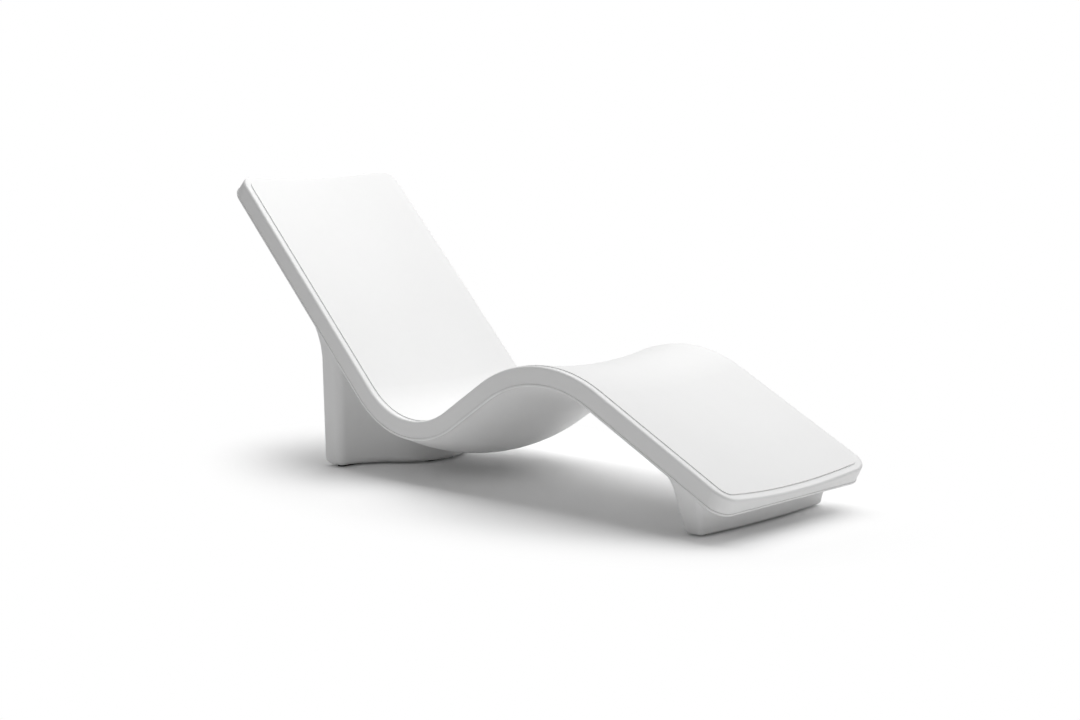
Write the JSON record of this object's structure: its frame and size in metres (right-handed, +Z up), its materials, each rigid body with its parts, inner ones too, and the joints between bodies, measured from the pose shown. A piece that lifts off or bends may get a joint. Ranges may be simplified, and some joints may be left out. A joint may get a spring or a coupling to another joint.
{
  "type": "chaise longue",
  "caption": "Hollow moulded plastic chaise longue: S-shaped reclining slab with dished top and stepped border, waisted rear pedestal, front foot and screw plugs for ballast.",
  "frame": {"origin": "on the floor, under the middle of the part's length and width", "axes": "+X from the head end to the foot end, +Y to the left of a person lying in it, +Z up"},
  "size_m": [1.8505, 0.603, 0.8131],
  "materials": {
    "shell_white": "satin moulded polyethylene",
    "plug_white": "satin moulded",
    "insert_plastic": "satin moulded",
    "former_plastic": "satin sheet",
    "seal_rubber": "matte",
    "pad_rubber": "matte"
  },
  "bodies": {
    "shell": {"upper_shell": "shell_white", "lower_shell": "shell_white", "fill_insert": "insert_plastic", "rear_drain_insert": "insert_plastic", "front_drain_insert": "insert_plastic", "rear_pad_left": "pad_rubber", "rear_pad_right": "pad_rubber", "rear_pad_nose": "pad_rubber", "front_pad_left": "pad_rubber", "front_pad_right": "pad_rubber", "back_former": "former_plastic", "seat_former": "former_plastic", "knee_former": "former_plastic", "leg_former": "former_plastic"},
    "fill_seal": {"fill_washer": "seal_rubber"},
    "fill_cap": {"fill_plug": "plug_white"},
    "rear_seal": {"rear_drain_washer": "seal_rubber"},
    "rear_cap": {"rear_drain_plug": "plug_white"},
    "front_seal": {"front_drain_washer": "seal_rubber"},
    "front_cap": {"front_drain_plug": "plug_white"}
  },
  "joints": [
    {"name": "fill_out", "type": "slide", "parent": "shell", "child": "fill_seal", "axis": [-0.7169, 0, -0.6972], "range_m": [0, 0.0105]},
    {"name": "fill_turn", "type": "hinge", "parent": "fill_seal", "child": "fill_cap", "pos_m": [-0.84227, 0, 0.69632], "axis": [-0.7169, 0, -0.6972], "range_deg": [0, 1080]},
    {"name": "rear_out", "type": "slide", "parent": "shell", "child": "rear_seal", "axis": [-0.9998, 0, -0.0218], "range_m": [0, 0.0105]},
    {"name": "rear_turn", "type": "hinge", "parent": "rear_seal", "child": "rear_cap", "pos_m": [-0.52944, 0, 0.058], "axis": [-0.9998, 0, -0.0218], "range_deg": [0, 1080]},
    {"name": "front_out", "type": "slide", "parent": "shell", "child": "front_seal", "axis": [-0.9906, 0, -0.1365], "range_m": [0, 0.0105]},
    {"name": "front_turn", "type": "hinge", "parent": "front_seal", "child": "front_cap", "pos_m": [0.75394, 0, 0.054], "axis": [-0.9906, 0, -0.1365], "range_deg": [0, 1080]}
  ],
  "couplings": [
    {"joint": "fill_turn", "follows": "fill_out", "rad_per_m": 1795.2},
    {"joint": "rear_turn", "follows": "rear_out", "rad_per_m": 1795.2},
    {"joint": "front_turn", "follows": "front_out", "rad_per_m": 1795.2}
  ]
}
